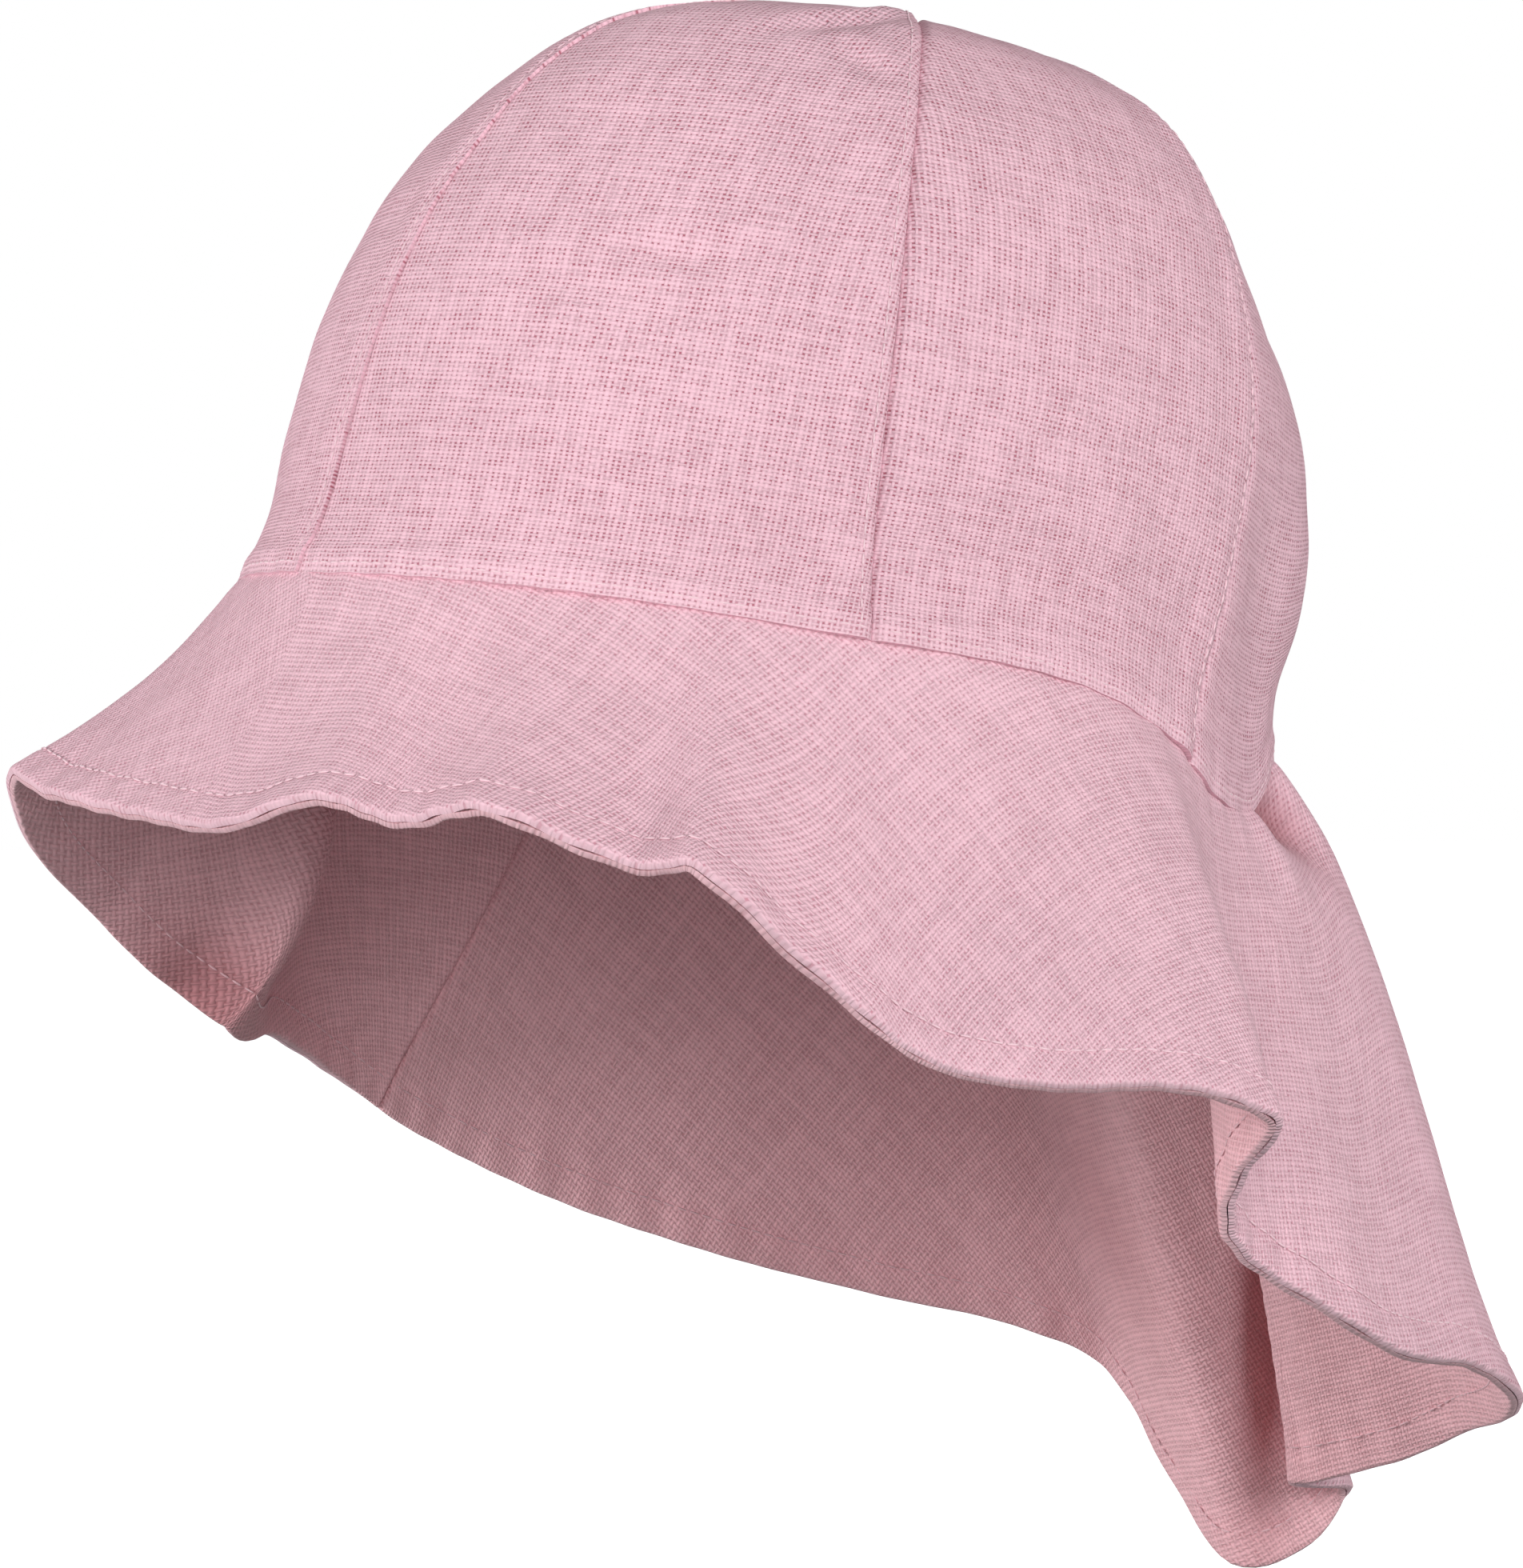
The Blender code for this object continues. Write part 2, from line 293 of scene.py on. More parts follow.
def linen(name, thread, hole_shade, fuzz):
    """Plain-weave linen with about eleven uneven threads to the centimetre.

    The colours are those of the threads, of the painted shade in the holes between them, and of the pale
    fluff along worn edges.
    """
    material = bpy.data.materials.new(name)
    material.use_nodes = True
    nodes, links = material.node_tree.nodes, material.node_tree.links
    shader = nodes["Principled BSDF"]

    def feed(socket, value):
        if isinstance(value, bpy.types.NodeSocket):
            links.new(value, socket)
        else:
            socket.default_value = value

    def maths(operation, *values, clamp=False):
        node = nodes.new("ShaderNodeMath")
        node.operation, node.use_clamp = operation, clamp
        for socket, value in zip(node.inputs, values):
            feed(socket, value)
        return node.outputs[0]

    def uneven(vector, scale, detail):
        node = nodes.new("ShaderNodeTexNoise")
        feed(node.inputs["Vector"], vector)
        node.inputs["Scale"].default_value = scale
        node.inputs["Detail"].default_value = detail
        return node.outputs

    def joined(x, y, z=0.0):
        node = nodes.new("ShaderNodeCombineXYZ")
        for socket, value in zip(node.inputs, (x, y, z)):
            feed(socket, value)
        return node.outputs[0]

    def blended(amount, first, second, kind="MIX"):
        node = nodes.new("ShaderNodeMix")
        node.data_type, node.blend_type = "RGBA", kind
        feed(node.inputs["Factor"], amount)
        feed(node.inputs["A"], first)
        feed(node.inputs["B"], second)
        return node.outputs["Result"]

    def spread(value, low, high, to_low=0.0, to_high=1.0):
        node = nodes.new("ShaderNodeMapRange")
        node.interpolation_type = "SMOOTHSTEP"
        for socket, number in zip(node.inputs, (value, low, high, to_low, to_high)):
            feed(socket, number)
        return node.outputs[0]

    # Threads: the flat cut measured in thread pitches, with the threads' own wander
    place = nodes.new("ShaderNodeUVMap")
    place.uv_map = "grain"
    pitch = nodes.new("ShaderNodeMapping")
    pitch.inputs["Scale"].default_value = (1 / THREAD_PITCH, 1 / THREAD_PITCH, 1)
    links.new(place.outputs[0], pitch.inputs["Vector"])
    wander = nodes.new("ShaderNodeVectorMath")
    wander.operation = "MULTIPLY_ADD"
    links.new(uneven(pitch.outputs[0], 0.035, 3.0)["Color"], wander.inputs[0])
    wander.inputs[1].default_value = (1.1, 1.1, 0)
    links.new(pitch.outputs[0], wander.inputs[2])
    split = nodes.new("ShaderNodeSeparateXYZ")
    links.new(wander.outputs[0], split.inputs[0])
    ways = split.outputs[0], split.outputs[1]

    threads, tints = [], []
    for own, other, flip in ((ways[0], ways[1], 1.0), (ways[1], ways[0], -1.0)):
        index = maths("FLOOR", own)
        slub = uneven(joined(maths("MULTIPLY", index, 3.7), maths("MULTIPLY", other, 0.07), flip), 1.0, 1.0)
        width = spread(slub["Fac"], 0.30, 0.70, 0.30, 0.48)
        off = maths("DIVIDE", maths("SUBTRACT", maths("FRACT", own), 0.5), width)
        round_top = maths("SUBTRACT", 1.0, maths("MULTIPLY", off, off), clamp=True)
        side = maths("SIGN", maths("SINE", maths("MULTIPLY", own, np.pi)))
        over = maths("MULTIPLY", maths("SINE", maths("MULTIPLY", other, np.pi)), side)
        level = maths("MULTIPLY_ADD", over, 0.38 * flip, 0.62)
        threads.append(maths("MULTIPLY", round_top, level))
        tints.append(slub["Fac"])
    height = maths("MAXIMUM", *threads)
    between = nodes.new("ShaderNodeTexWhiteNoise")
    between.noise_dimensions = "3D"
    links.new(joined(*[maths("ROUND", way) for way in ways]), between.inputs["Vector"])

    # Colour: painted rose shade in the holes and down the threads' sides, a painted highlight on the crowns
    # of the threads, with faded and fuller patches
    body = nodes.new("ShaderNodeTexCoord").outputs["Object"]
    patch = uneven(body, 55.0, 3.0)["Fac"]
    tint = maths("MULTIPLY", tints[0], tints[1])
    shares = (0.94, 1.05, 1.10, 1.22)
    dull, full, faded, crest_highlight = ([min(1, c * share) for c in thread] + [1] for share in shares)
    lit = blended(spread(tint, 0.12, 0.42), dull, full)
    lit = blended(spread(patch, 0.3, 0.7, 0.0, 0.22), lit, faded)
    # Painted highlight: the crowns of the threads are made lighter
    lit = blended(spread(height, 0.55, 1.0, 0.0, 0.55), lit, crest_highlight)
    # Painted shade: the holes between the threads and the threads' low sides darken to a deep rose, some
    # holes more than others
    shaded_hole = blended(spread(between.outputs["Value"], 0.0, 1.0, 0.0, 0.70), (*hole_shade, 1), lit)
    colour = blended(spread(height, 0.04, 0.50), shaded_hole, lit)
    wear = nodes.new("ShaderNodeAttribute")
    wear.attribute_name = "worn"
    fluff = uneven(body, 900.0, 2.0)["Fac"]
    frayed = maths("MULTIPLY", wear.outputs["Fac"], spread(fluff, 0.3, 0.6, 0.55, 1.0))
    colour = blended(frayed, colour, (*fuzz, 1))
    # Painted shade in the folds: the colour is multiplied towards a deeper rose where the creases lie close
    painted_shade = nodes.new("ShaderNodeAttribute")
    painted_shade.attribute_name = "painted_fold_shade"
    colour = blended(painted_shade.outputs["Fac"], colour, (*FOLD_SHADE_COLOUR, 1), "MULTIPLY")
    links.new(colour, shader.inputs["Base Color"])

    # Relief: the weave, and fine crumple below what the mesh carries
    crumple = uneven(body, 240.0, 3.0)["Fac"]
    bump = nodes.new("ShaderNodeBump")
    bump.inputs["Strength"].default_value = 0.75
    bump.inputs["Distance"].default_value = 0.00030
    relief = maths("MULTIPLY", height, maths("SUBTRACT", 1.0, wear.outputs["Fac"]))
    links.new(maths("MULTIPLY_ADD", crumple, 0.9, relief), bump.inputs["Height"])
    links.new(bump.outputs[0], shader.inputs["Normal"])
    shader.inputs["Roughness"].default_value = 0.92
    shader.inputs["Specular IOR Level"].default_value = 0.25
    shader.inputs["Sheen Weight"].default_value = 0.12
    shader.inputs["Sheen Roughness"].default_value = 0.6
    shader.inputs["Sheen Tint"].default_value = (1.0, 0.80, 0.84, 1)
    return material


THREAD_PITCH = 0.0009
FOLD_SHADE_COLOUR = (0.42, 0.23, 0.23)  # painted shade: deep in a fold the colour is multiplied down to this deeper rose, standing in for the shade there and the light come through the linen
CROWN_THREAD = (0.760, 0.480, 0.555)
# Painted shade in the holes between the crown's threads
CROWN_HOLE_SHADE = (0.400, 0.110, 0.155)
FLUFF = (0.800, 0.560, 0.620)
CROWN_TOP = 0.9993  # climb at which the six tips meet
PANEL_EDGE = 0.0001  # of a panel's width, left free at each seam
SEAM_STEP = 0.0004  # how much thicker a panel is along its seams
SEAM_BAND = 0.08  # of a panel's width, the part at each seam that is thicker
RIM_WEAR = 0.30

crown_linen = linen("crown_linen", CROWN_THREAD, CROWN_HOLE_SHADE, FLUFF)
for number, (panel, _, _, _, wide, long) in enumerate(PANELS):

    def spot(across, along, number=number):
        """Angle and climb on a panel, with rows closer together towards the rim."""
        climb = (0.75 * along + 0.25 * along**2) * CROWN_TOP
        left, right = seam_line(number, climb), seam_line(number + 1, climb)
        eased = across - 0.045 * np.sin(2 * np.pi * across)
        return left + (right - left) * np.clip(eased, PANEL_EDGE, 1 - PANEL_EDGE), climb

    def outside(across, along, number=number):
        return crown_outside(number, *spot(across, along, number))

    def inside(across, along, number=number):
        angle, climb = spot(across, along, number)
        near = np.minimum(across, 1 - across) < SEAM_BAND
        return crown_outside(number, angle, climb, -PANEL_CLOTH - SEAM_STEP * near)

    def grain(across, along, number=number):
        angle, climb = spot(across, along, number)
        middle = (seam_line(number, climb) + seam_line(number + 1, climb)) / 2
        step = crown_face(angle + 0.5, climb) - crown_face(angle - 0.5, climb)
        return np.stack([(angle - middle) * np.linalg.norm(step, axis=-1), climb * CROWN_CLIMB], -1)

    def worn(across, along, number=number):
        climb = spot(across, along, number)[1]
        return RIM_WEAR * np.exp(-climb * CROWN_HEIGHT / 0.0012)

    # The crown gets no painted fold shade
    def painted_fold_shade(across, along):
        return 0 * across

    piece = cloth(panel, (outside, inside), grain, worn, painted_fold_shade, PANEL_COLUMNS, PANEL_ROWS, crown_linen)
    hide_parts(panel)
    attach(piece, "root")

# Crown topstitching
# A single row of lighter thread runs beside each crown seam, on the side where the turnings lie, and another
# runs round the crown just above the brim. Each stitch is one short float of thread, sunk at both ends.
STITCH_PITCH = 0.0023
STITCH_LENGTH = 0.0018
STITCH_THICKNESS = 0.00036
SEAM_STITCHED = (0.012, 0.965)  # climb where a seam's topstitching starts and ends
THREAD_COLOUR = (0.870, 0.610, 0.670)


def topstitching(name, lines, colour):
    """Stitches laid along lines. A line is its points and, for each, the way out of the cloth."""
    shape = bmesh.new()
    bmesh.ops.create_uvsphere(shape, u_segments=8, v_segments=4, radius=0.5)
    bmesh.ops.rotate(shape, verts=shape.verts, matrix=Matrix.Rotation(np.pi / 2, 3, "Y"))
    bmesh.ops.scale(shape, verts=shape.verts, vec=(STITCH_LENGTH, STITCH_THICKNESS, STITCH_THICKNESS))
    stitch = bpy.data.meshes.new("stitch")
    shape.to_mesh(stitch)
    shape.free()
    mesh = bmesh.new()
    for points, outs in lines:
        run = np.concatenate([[0], np.cumsum(np.linalg.norm(np.diff(points, axis=0), axis=1))])
        for start in np.arange(0.0004, run[-1] - STITCH_LENGTH, STITCH_PITCH):
            first, last, out = (
                np.array([np.interp(at, run, table[:, k]) for k in range(3)])
                for at, table in ((start, points), (start + STITCH_LENGTH, points), (start, outs))
            )
            way = Vector(last - first).normalized()
            up = (Vector(out) - way * Vector(out).dot(way)).normalized()
            turn = Matrix((way, up.cross(way), up)).transposed().to_4x4()
            middle = Vector((first + last) / 2) + up * STITCH_THICKNESS * 0.30
            laid = stitch.copy()
            laid.transform(Matrix.Translation(middle) @ turn)
            mesh.from_mesh(laid)
            bpy.data.meshes.remove(laid)
    data = bpy.data.meshes.new(name)
    mesh.to_mesh(data)
    mesh.free()
    data.shade_smooth()
    data.materials.append(colour)
    piece = bpy.data.objects.new(name, data)
    bpy.context.scene.collection.objects.link(piece)
    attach(piece, "root")


def sewing_thread(name, colour):
    """Spun polyester thread: two plies that wind round each other."""
    material = bpy.data.materials.new(name)
    material.use_nodes = True
    nodes, links = material.node_tree.nodes, material.node_tree.links
    shader = nodes["Principled BSDF"]
    place = nodes.new("ShaderNodeTexCoord")
    ply = nodes.new("ShaderNodeTexNoise")
    ply.inputs["Scale"].default_value = 2600.0
    links.new(place.outputs["Object"], ply.inputs["Vector"])
    shade = nodes.new("ShaderNodeMix")
    shade.data_type = "RGBA"
    shade.inputs["A"].default_value = (*[c * 0.82 for c in colour], 1)
    shade.inputs["B"].default_value = (*colour, 1)
    links.new(ply.outputs["Fac"], shade.inputs["Factor"])
    links.new(shade.outputs["Result"], shader.inputs["Base Color"])
    bump = nodes.new("ShaderNodeBump")
    bump.inputs["Strength"].default_value = 0.5
    bump.inputs["Distance"].default_value = 0.0001
    links.new(ply.outputs["Fac"], bump.inputs["Height"])
    links.new(bump.outputs[0], shader.inputs["Normal"])
    shader.inputs["Roughness"].default_value = 0.6
    shader.inputs["Sheen Weight"].default_value = 0.3
    return material


pale_thread = sewing_thread("pale_thread", THREAD_COLOUR)


def crown_line(number, angle, climb):
    points = crown_outside(number, angle, climb)
    return points, crown_outside(number, angle, climb, 0.001) - points


crown_lines = []
for number in range(len(PANELS)):
    climb = np.linspace(*SEAM_STITCHED, 160)
    seam = seam_line(number + 1, climb)
    step = crown_face(seam + 0.5, climb) - crown_face(seam - 0.5, climb)
    crown_lines.append(crown_line(number, seam - SEAM_STITCH / np.linalg.norm(step, axis=-1), climb))
    level = RIM_STITCH / (CROWN_HEIGHT * CLIMB_SHARE)
    angle = np.linspace(seam_line(number, level) + 0.3, seam_line(number + 1, level) - 0.3, 120)
    crown_lines.append(crown_line(number, angle, np.full(angle.shape, level)))
topstitching("crown_topstitching", crown_lines, pale_thread)

# Upper brim
# The brim's show cloth is cut as a wide ring, short over the face and long over the nape. It is sewn to the
# crown along its inner edge, falls in folds at the sides and gathers into the flap behind.
BRIM_FRONT = 0.050
BRIM_SIDE = 0.078
BRIM_BACK = 0.132
BRIM_CLOTH = 0.0009
BRIM_COLUMNS = 560
BRIM_ROWS = 60
CLOTH_GAP = 0.0003
HEM_TURNING = 0.0062
HEM_RAISE = 0.00030
HEM_EDGE = 0.0006
HEM_RADIUS = 0.135
HEM_PUCKER_PITCH = 0.0100
HEM_STITCH = 0.0062
HEM_ROLL = 0.0010
HEM_WEAR = 0.35
RIM_GROOVE = 0.0003
CUT_RADIUS = 0.118
CUT_SWEEP = 0.683  # degrees on the flat cut for each degree round the rim

BRIM_FOLDS = (
    # angle, length, outward, swing, bow, hook
    (6, 1.00, 0.660, 0.150, -0.10, 0.00),
    (15, 0.98, 0.740, 0.170, -0.10, 0.00),
    (26, 0.96, 0.740, 0.010, -0.10, 0.00),
    (35, 0.93, 0.790, -0.100, -0.10, 0.00),
    (46, 0.93, 0.720, -0.090, -0.10, 0.00),
    (53, 0.92, 0.740, -0.190, -0.10, 0.00),
    (61, 0.98, 0.560, -0.090, -0.08, 0.00),
    (70, 1.03, 0.510, -0.150, -0.06, 0.00),
    (80, 1.03, 0.540, -0.220, -0.04, 0.00),
    (90, 0.99, 0.575, -0.310, -0.02, 0.00),
    (98, 0.96, 0.590, -0.350, 0.00, 0.00),
    (104, 0.93, 0.560, -0.385, 0.02, 0.00),
    (109, 0.89, 0.430, -0.455, 0.00, 0.00),
    (115, 0.86, 0.310, -0.510, 0.00, 0.00),
    (122, 0.85, 0.255, -0.535, 0.02, 0.00),
    (131, 0.86, 0.275, -0.490, 0.05, 0.10),
    (141, 0.87, 0.300, -0.335, 0.05, 0.18),
    (150, 0.90, 0.330, -0.240, 0.06, 0.20),
    (158, 0.90, 0.390, 0.110, 0.05, 0.20),
    (167, 0.88, 0.355, 0.125, 0.03, 0.12),
    (175, 0.87, 0.285, 0.065, 0.02, 0.00),
    (180, 0.87, 0.275, 0.015, 0.00, 0.00),
    (185, 0.94, 0.400, -0.040, 0.00, 0.00),
    (191, 1.02, 0.340, -0.080, 0.00, 0.00),
    (196, 1.04, 0.280, -0.100, 0.00, 0.00),
    (201, 1.00, 0.340, -0.095, 0.00, 0.00),
    (208, 0.92, 0.410, -0.125, 0.02, 0.00),
    (218, 0.89, 0.365, -0.175, 0.02, 0.00),
    (230, 0.90, 0.290, -0.160, 0.00, 0.00),
    (242, 0.92, 0.235, -0.110, 0.00, 0.00),
    (256, 0.96, 0.270, -0.070, 0.00, 0.00),
    (270, 1.00, 0.340, -0.130, 0.00, 0.00),
    (284, 1.02, 0.350, -0.215, 0.08, 0.00),
    (291, 1.00, 0.310, -0.190, 0.14, 0.00),
    (296, 1.00, 0.260, -0.150, 0.04, 0.00),
    (301, 1.03, 0.120, 0.080, -0.22, 0.42),
    (308, 1.00, 0.300, -0.020, -0.14, 0.24),
    (317, 0.94, 0.530, -0.050, -0.09, 0.06),
    (326, 0.90, 0.700, 0.300, -0.10, 0.00),
    (340, 0.96, 0.680, 0.310, -0.10, 0.00),
    (354, 1.00, 0.640, 0.270, -0.10, 0.00),
)

BRIM_CREASES = (
    # angle, share of the way down, length as a share, width in degrees, slant in degrees, depth in metres,
    # how much painted shade is laid in it outside and inside
    (141.0, 0.06, 0.11, 3.2, 25, 0.0050, 0.85, 0.00),
    (134.0, 0.10, 0.14, 3.0, 20, -0.0015, 0.00, 0.00),
    (180.0, 0.75, 0.30, 7.0, 0, -0.0045, 0.00, 0.00),
    (180.5, 0.60, 0.22, 3.5, 0, -0.0020, 0.00, 0.00),
    (189.0, 0.72, 0.18, 2.2, 19, 0.0000, 0.00, 1.50),
    (201.0, 0.62, 0.16, 6.0, 0, 0.0000, 0.00, 0.24),
    (214.0, 0.60, 0.20, 14.0, 0, 0.0000, 0.00, 0.20),
    (296.0, 0.38, 0.25, 6.0, 0, 0.0055, 0.00, 0.00),
    (303.0, 0.92, 0.28, 6.0, 0, -0.0045, 0.00, 0.00),
    (306.0, 0.97, 0.19, 6.0, 0, 0.0000, 0.00, 0.75),
)


def brim_length(angle):
    """How long the brim is from rim to hem, along the cloth."""
    cut = through(((0, BRIM_FRONT), (90, BRIM_SIDE), (180, BRIM_BACK), (270, BRIM_SIDE)), 1, angle, 360)
    return cut * through(BRIM_FOLDS, 1, angle, 360)


def brim_face(angle, along):
    """The upper face of the brim, from the rim at 0 to the hem at 1, before its hem and creases."""
    outward = through(BRIM_FOLDS, 2, angle, 360)[..., None]
    swing = through(BRIM_FOLDS, 3, angle, 360)[..., None]
    bow = through(BRIM_FOLDS, 4, angle, 360)[..., None]
    hook = through(BRIM_FOLDS, 5, angle, 360)[..., None]
    around = np.radians(angle)
    out = np.stack([np.sin(around) / CROWN_WIDTH, -np.cos(around) / CROWN_LENGTH, 0 * around], -1)
    out /= np.linalg.norm(out, axis=-1, keepdims=True)
    round_rim = np.stack([-out[..., 1], out[..., 0], 0 * around], -1)
    down = np.array([0.0, 0.0, -1.0])
    drop = np.sqrt(np.clip(1 - outward**2 - swing**2, 0, 1))
    chord = out * outward + round_rim * swing + down * drop
    lift = out * drop - down * outward
    rim = crown_face(angle, 0 * angle) + down * CLOTH_GAP
    t = np.asarray(along)[..., None]
    bend = t * (1 - t) * (2 * bow + (1 - 2 * t) * hook)
    return rim + brim_length(angle)[..., None] * (chord * t + bend * lift)


def brim_creases(angle, along, column):
    """How far the creases sink both cloths of the brim, or how much painted shade is laid in them."""
    total = 0 * angle
    for place, level, long, wide, slant, *found in BRIM_CREASES:
        across = (np.mod(angle - place - slant * (along - level) + 180, 360) - 180) / wide
        total = total + found[column] * np.exp(-(across**2) - ((along - level) / long) ** 2)
    return total


def closed_hem(from_hem):
    """How far each cloth's back thickens at the hem, where the two meet."""
    return 0.00006 * np.exp(-from_hem / 0.0015)


def brim_depth(angle, along, sunk):
    """How far below the plain brim a cloth's face lies, given how far it is sunk in flat cloth."""
    plain = brim_face(angle, along)
    from_hem = (1 - along) * brim_length(angle)
    from_rim = along * brim_length(angle)
    round_rim, round_hem = np.radians(angle) * RIM_RADIUS, np.radians(angle) * HEM_RADIUS
    depth = sunk - 0.00050 * ripple(plain, 0.024, 2) - 0.00022 * ripple(plain, 0.010, 7)
    depth += brim_creases(angle, along, 0)
    depth -= 0.00030 * puckers(round_hem, HEM_PUCKER_PITCH, 4) * np.exp(-((from_hem - 0.004) ** 2) / 0.007**2)
    depth -= 0.00025 * puckers(round_rim, RIM_PUCKER_PITCH, 1) * np.exp(-from_rim / 0.008)
    return depth


def hem_roll(from_hem):
    """How far a cloth turns in towards the other one at the hem."""
    return 0.00052 * (1 - np.sqrt(1 - np.clip(1 - from_hem / HEM_ROLL, 0, 1) ** 2))


def brim_upper_face(angle, along, above=0.0):
    from_hem = (1 - along) * brim_length(angle)
    depth = brim_depth(angle, along, 0.0)
    depth -= HEM_RAISE / (1 + np.exp((from_hem - HEM_TURNING) / HEM_EDGE))
    depth += RIM_GROOVE * np.exp(-((along * brim_length(angle) / 0.0016) ** 2))
    depth += STITCH_SINK * np.exp(-(((from_hem - HEM_STITCH) / STITCH_FURROW) ** 2))
    depth += hem_roll(from_hem) - above
    return off_face(brim_face, angle, along, depth)


def brim_spot(across, along):
    """Angle and distance down the brim, with rows closer together at the rim and the hem."""
    return across * 360, np.interp(along, (0, 0.06, 0.88, 0.96, 1), (0, 0.03, 0.965, 0.993, 1))


def brim_outside(across, along):
    return brim_upper_face(*brim_spot(across, along))


def brim_inside(across, along):
    angle, down = brim_spot(across, along)
    back = BRIM_CLOTH + closed_hem((1 - down) * brim_length(angle))
    return off_face(brim_face, angle, down, brim_depth(angle, down, back))


def cut_place(angle, down):
    """Where a place on the brim lies on its flat cut, which is a ring."""
    radius, turn = CUT_RADIUS + down * brim_length(angle), np.radians(angle * CUT_SWEEP)
    return np.stack([radius * np.sin(turn), -radius * np.cos(turn)], -1)


def hem_wear(angle, down):
    return HEM_WEAR * np.exp(-(1 - down) * brim_length(angle) / 0.00015)


def brim_grain(across, along):
    return cut_place(*brim_spot(across, along))


def brim_wear(across, along):
    return hem_wear(*brim_spot(across, along))


# Painted shade in the creases of the brim's outer cloth
def brim_fold_shade(across, along):
    return np.clip(brim_creases(*brim_spot(across, along), 1), 0, 1)


BRIM_THREAD = (0.760, 0.480, 0.550)
# Painted shade in the holes between the brim's threads
BRIM_HOLE_SHADE = (0.560, 0.250, 0.310)

brim_linen = linen("brim_linen", BRIM_THREAD, BRIM_HOLE_SHADE, FLUFF)
brim_upper = cloth(
    "brim_upper",
    (brim_outside, brim_inside),
    brim_grain,
    brim_wear,
    brim_fold_shade,
    BRIM_COLUMNS,
    BRIM_ROWS,
    brim_linen,
)
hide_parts("brim_upper")
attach(brim_upper, "root")

# Brim facing
# A second cloth cut like the first lies under it and is sewn to it round the hem. One join runs across it at
# the right side of the head, where the ring of cloth closes.
JOIN_ANGLE = 257.0  # at the rim
JOIN_DRIFT = 20.0  # degrees further round at the hem
FACING_RAISE = 0.00028
JOIN_RIDGE = 0.0007
JOIN_TURNING = 0.0004
FACING_COLUMNS = 480
FACING_ROWS = 52


def facing_face(angle, along, above=0.0):
    """The face of the facing that shows inside the hat."""
    from_hem = (1 - along) * brim_length(angle)
    sunk = 2 * BRIM_CLOTH + CLOTH_GAP + above
    beside = (np.mod(angle - JOIN_ANGLE - JOIN_DRIFT * along + 180, 360) - 180) * (0.0015 + along * 0.0009)
    depth = brim_depth(angle, along, sunk)
    depth += FACING_RAISE / (1 + np.exp((from_hem - HEM_TURNING) / HEM_EDGE)) - hem_roll(from_hem)
    depth -= STITCH_SINK * np.exp(-(((from_hem - HEM_STITCH) / STITCH_FURROW) ** 2))
    ridge = JOIN_RIDGE * np.exp(-((beside / 0.0006) ** 2))
    depth -= ridge - JOIN_TURNING * np.exp(-(((beside - 0.0016) / 0.0009) ** 2))
    return off_face(brim_face, angle, along, depth)


def facing_spot(across, along):
    """Angle and distance down the facing, whose columns run from its join and crowd together there."""
    turn = 360 * np.interp(across, (0, 0.01, 0.99, 1), (0, 0.002, 0.998, 1))
    down = brim_spot(across, along)[1]
    return JOIN_ANGLE + JOIN_DRIFT * down + turn, down


def facing_outside(across, along):
    return facing_face(*facing_spot(across, along))


def facing_inside(across, along):
    angle, down = facing_spot(across, along)
    back = BRIM_CLOTH + CLOTH_GAP - closed_hem((1 - down) * brim_length(angle))
    return off_face(brim_face, angle, down, brim_depth(angle, down, back))


def facing_grain(across, along):
    return cut_place(*facing_spot(across, along))


def facing_wear(across, along):
    return hem_wear(*facing_spot(across, along))


# Painted shade in the creases of the facing, inside the hat
def facing_fold_shade(across, along):
    return np.clip(brim_creases(*facing_spot(across, along), 2), 0, 1)


# Painted glow: the facing's threads are a deeper rose than the upper cloth's, standing in for the light that
# comes through the linen and bounces inside the hat; its holes hold painted shade
FACING_GLOW_THREAD = (0.790, 0.455, 0.495)
FACING_HOLE_SHADE = (0.640, 0.310, 0.340)

facing_glow_linen = linen("brim_facing_linen", FACING_GLOW_THREAD, FACING_HOLE_SHADE, FLUFF)
brim_under = cloth(
    "brim_under",
    (facing_outside, facing_inside),
    facing_grain,
    facing_wear,
    facing_fold_shade,
    FACING_COLUMNS,
    FACING_ROWS,
    facing_glow_linen,
)
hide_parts("brim_under")
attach(brim_under, "root")

# Hem topstitching
# One row runs 6 mm inside the hem, through both cloths: pale thread on the outside, and rose thread from the
# bobbin on the inside.
BOBBIN_COLOUR = (0.740, 0.455, 0.500)
HEM_PLACES = 1200  # places at which the hem line is measured

rose_thread = sewing_thread("rose_thread", BOBBIN_COLOUR)
angle = np.linspace(0, 360, HEM_PLACES)
down = 1 - HEM_STITCH / brim_length(angle)
for name, face, colour in (
    ("hem_topstitching", brim_upper_face, pale_thread),
    ("hem_bobbin_stitching", facing_face, rose_thread),
):
    points = face(angle, down, 0.00015)
    topstitching(name, [(points, face(angle, down, 0.001) - points)], colour)

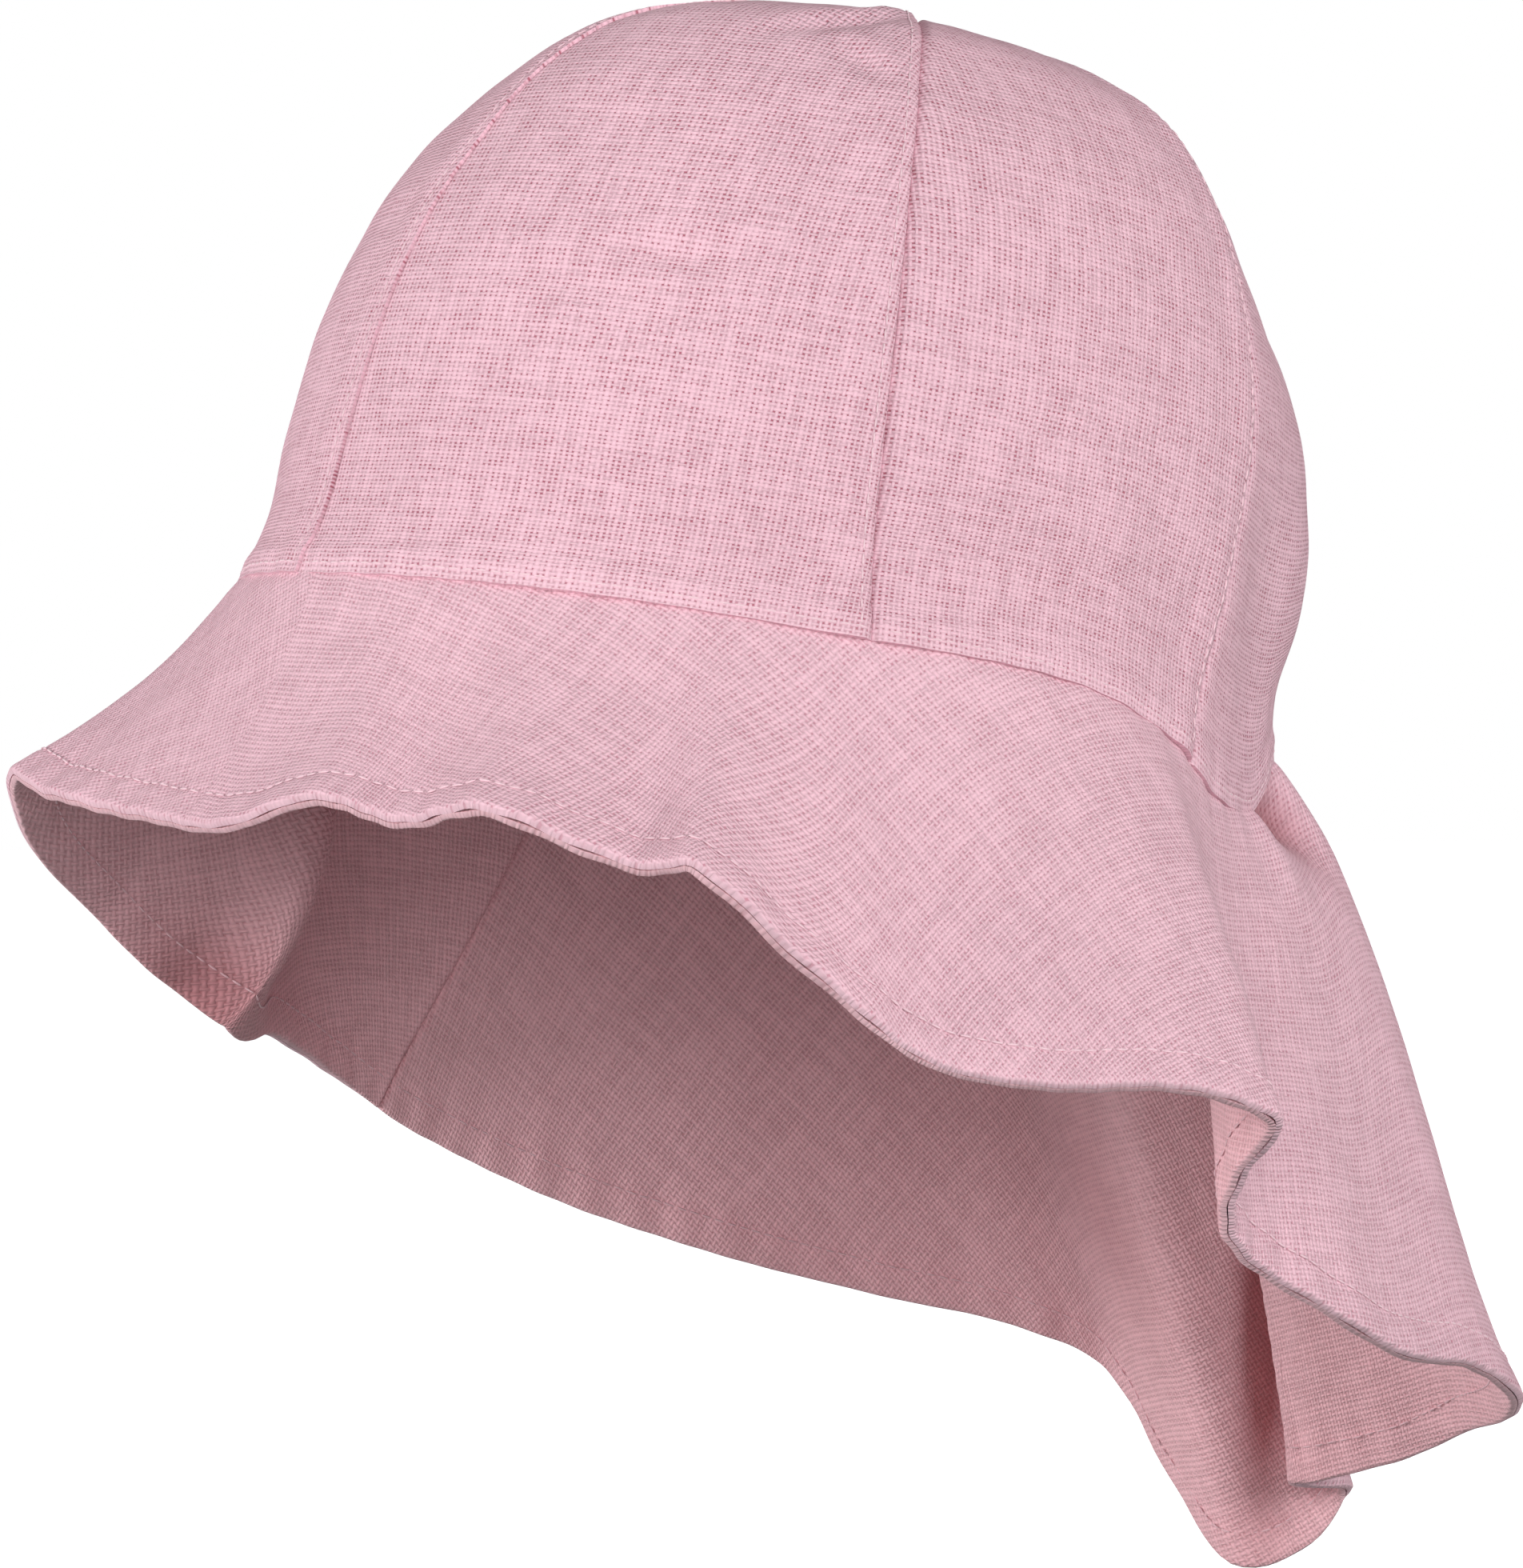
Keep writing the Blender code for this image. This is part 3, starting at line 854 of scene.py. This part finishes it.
# Floor and backdrop
# A plain pale sweep well below the hat, which hangs as worn. It shows an even white and throws no light up.
FLOOR_LEVEL = -0.165
FLOOR_REACH = 14
sweep = bmesh.new()
bmesh.ops.create_grid(sweep, x_segments=1, y_segments=1, size=FLOOR_REACH)
for vert in sweep.verts:
    vert.co.z = FLOOR_LEVEL
floor_mesh = bpy.data.meshes.new("floor")
sweep.to_mesh(floor_mesh)
sweep.free()
floor = bpy.data.objects.new("floor", floor_mesh)
floor.visible_diffuse = False
bpy.context.scene.collection.objects.link(floor)
floor_paint = bpy.data.materials.new("floor_paint")
floor_paint.use_nodes = True
paint = floor_paint.node_tree.nodes["Principled BSDF"].inputs
paint["Base Color"].default_value = (0.93, 0.93, 0.93, 1)
paint["Roughness"].default_value = 0.9
paint["Emission Color"].default_value = (1, 1, 1, 1)
paint["Emission Strength"].default_value = 1.1
floor_mesh.materials.append(floor_paint)

# Lights
# Three broad soft lamps stand round the hat, two of them level with its brim, in a white room dim overhead.
ROOM_ABOVE = 0.07
ROOM_BELOW = 0.15
ROOM_FADE = (-0.25, 0.35)  # sines of the steepness where one gives way to the other
ROOM_SEEN = 1.0
LAMPS = (
    # name, degrees round from the face, degrees up, distance, size, watts
    ("right_light", -25, 3, 2.0, 1.2, 42),
    ("front_light", 45, 4, 2.0, 1.2, 26),
    ("left_light", 100, 20, 2.0, 1.2, 29),
)

world = bpy.data.worlds.new("studio")
world.use_nodes = True
room = world.node_tree.nodes
direction = room.new("ShaderNodeTexCoord")
upward = room.new("ShaderNodeSeparateXYZ")
world.node_tree.links.new(direction.outputs["Generated"], upward.inputs[0])
glow = room.new("ShaderNodeMapRange")
for socket, number in zip(glow.inputs[1:5], (*ROOM_FADE, ROOM_BELOW, ROOM_ABOVE)):
    socket.default_value = number
world.node_tree.links.new(upward.outputs["Z"], glow.inputs[0])
seen = room.new("ShaderNodeLightPath")
strength = room.new("ShaderNodeMix")
strength.inputs["B"].default_value = ROOM_SEEN
world.node_tree.links.new(seen.outputs["Is Camera Ray"], strength.inputs["Factor"])
world.node_tree.links.new(glow.outputs[0], strength.inputs["A"])
room["Background"].inputs["Color"].default_value = (1, 1, 1, 1)
world.node_tree.links.new(strength.outputs["Result"], room["Background"].inputs["Strength"])
bpy.context.scene.world = world
for name, round_from, up, distance, size, watts in LAMPS:
    lamp = bpy.data.lights.new(name, "AREA")
    lamp.size = size
    lamp.energy = watts
    holder = bpy.data.objects.new(name, lamp)
    turn, climb = np.radians(round_from), np.radians(up)
    place = Vector((np.sin(turn) * np.cos(climb), -np.cos(turn) * np.cos(climb), np.sin(climb))) * distance
    holder.location = place
    holder.rotation_euler = (-place).to_track_quat("-Z", "Y").to_euler()
    bpy.context.scene.collection.objects.link(holder)

# Camera
# Level with the rim, seen from the front and the wearer's left.
VIEW_ANGLE = np.radians(50)
VIEW_DISTANCE = 1.25
VIEW_WIDTH = 0.238  # what the picture takes in at the middle of the hat
AIM_RIGHT = 0.00075
AIM_UP = -0.01475
across_view = Vector((np.cos(VIEW_ANGLE), np.sin(VIEW_ANGLE), 0))
toward = Vector((np.sin(VIEW_ANGLE), -np.cos(VIEW_ANGLE), 0))
lens = bpy.data.cameras.new("camera")
lens.sensor_fit = "HORIZONTAL"
lens.sensor_width = 36
lens.lens = lens.sensor_width * VIEW_DISTANCE / VIEW_WIDTH
lens.clip_end = 60
camera = bpy.data.objects.new("camera", lens)
camera.location = toward * VIEW_DISTANCE + across_view * AIM_RIGHT + Vector((0, 0, AIM_UP))
camera.rotation_euler = (-toward).to_track_quat("-Z", "Y").to_euler()
bpy.context.scene.collection.objects.link(camera)
bpy.context.scene.camera = camera
bpy.context.scene.view_settings.view_transform = "Standard"
